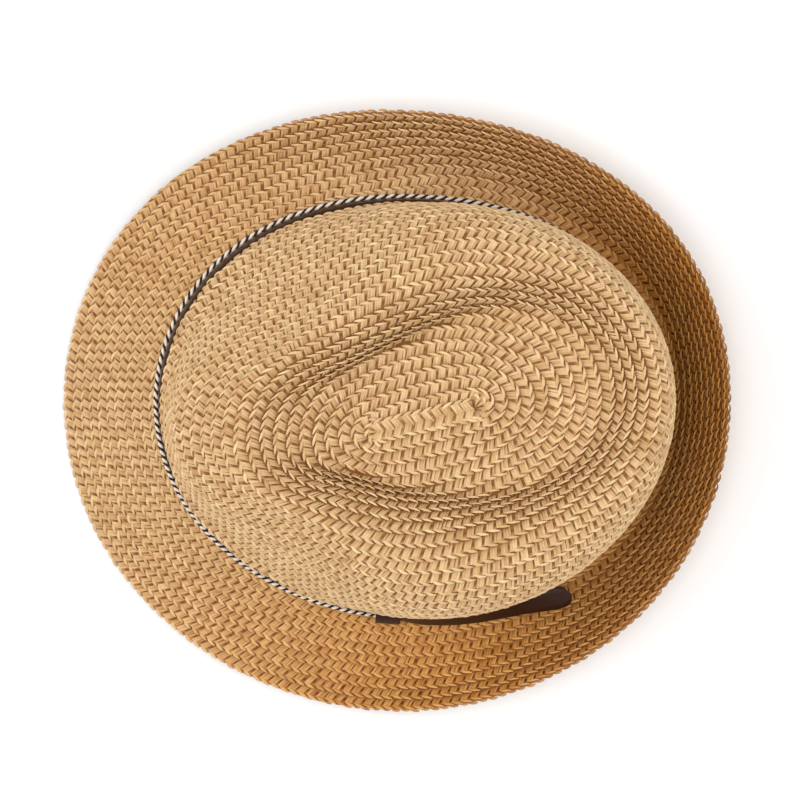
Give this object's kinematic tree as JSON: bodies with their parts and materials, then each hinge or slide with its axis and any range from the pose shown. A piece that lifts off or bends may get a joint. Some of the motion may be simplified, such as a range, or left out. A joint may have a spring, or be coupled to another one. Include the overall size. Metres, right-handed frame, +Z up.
{
  "type": "straw hat",
  "caption": "Short-brimmed straw trilby of sewn braid with a teardrop crown, a brim that dips in front and turns up behind, a leather strip and a twisted cord.",
  "frame": {"origin": "centre of the hat's outline as seen from above, on the surface that the hat rests on", "axes": "+Z up through the crown, -Y toward the front of the hat, +X toward the wearer's left"},
  "size_m": [0.2509, 0.2788, 0.0991],
  "materials": {
    "straw": "natural straw braid, satin",
    "leather": "smooth dark brown, satin",
    "cord": "black and cream yarns twisted together"
  },
  "bodies": {
    "root": {"crown": "straw", "brim": "straw", "leather_band": "leather", "trim_cord": "cord", "keeper": "leather", "strap_end": "leather"}
  },
  "joints": []
}
